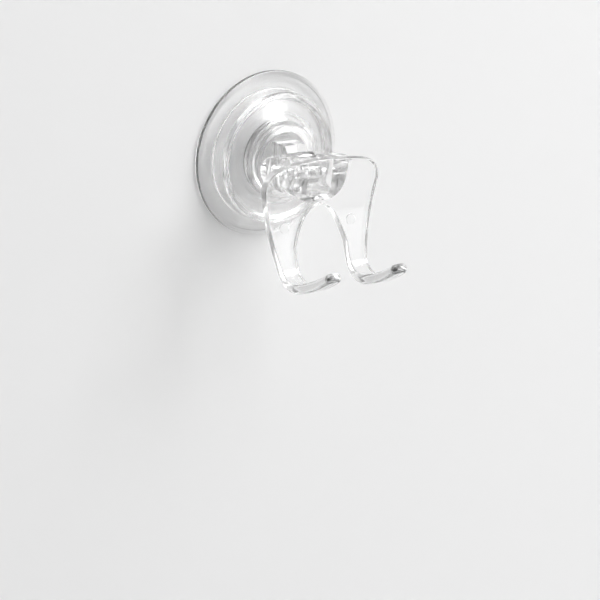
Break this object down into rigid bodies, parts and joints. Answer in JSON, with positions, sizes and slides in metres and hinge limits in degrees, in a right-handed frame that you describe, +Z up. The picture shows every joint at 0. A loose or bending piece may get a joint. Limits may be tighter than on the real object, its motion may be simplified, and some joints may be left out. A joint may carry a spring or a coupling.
{
  "type": "suction razor holder",
  "caption": "Clear wall hook on a lever-lock suction cup, with an arched lever plate that ends in two upturned prongs for a razor.",
  "frame": {"origin": "centre of the suction cup's sealing face, on the wall", "axes": "+Y into the wall along the cup's axis, +Z up, +X to the right as seen from the room; the prongs reach out along -Y"},
  "size_m": [0.05, 0.0548, 0.0571],
  "materials": {
    "soft_clear": "soft clear vinyl, slightly milky, glossy",
    "stud_clear": "clear moulded plastic, polished",
    "cap_clear": "clear moulded plastic, polished",
    "lever_clear": "clear moulded plastic, polished",
    "pin_clear": "clear moulded plastic, polished"
  },
  "bodies": {
    "base": {"suction_cup": "soft_clear", "cover_cap": "cap_clear"},
    "stud": {"cup_stud": "stud_clear"},
    "lever": {"hook_lever": "lever_clear", "pivot_pin": "pin_clear"}
  },
  "joints": [
    {"name": "stud_slide", "type": "slide", "parent": "base", "child": "stud", "axis": [0, 1, 0], "range_m": [0, 0.0035], "deforming": ["suction_cup"]},
    {"name": "lever_flip", "type": "hinge", "parent": "stud", "child": "lever", "pos_m": [0, -0.0182, 0], "axis": [-1, 0, 0], "range_deg": [0, 80]}
  ],
  "couplings": [
    {"joint": "stud_slide", "follows": "lever_flip", "m_per_rad": 0.0025067}
  ]
}
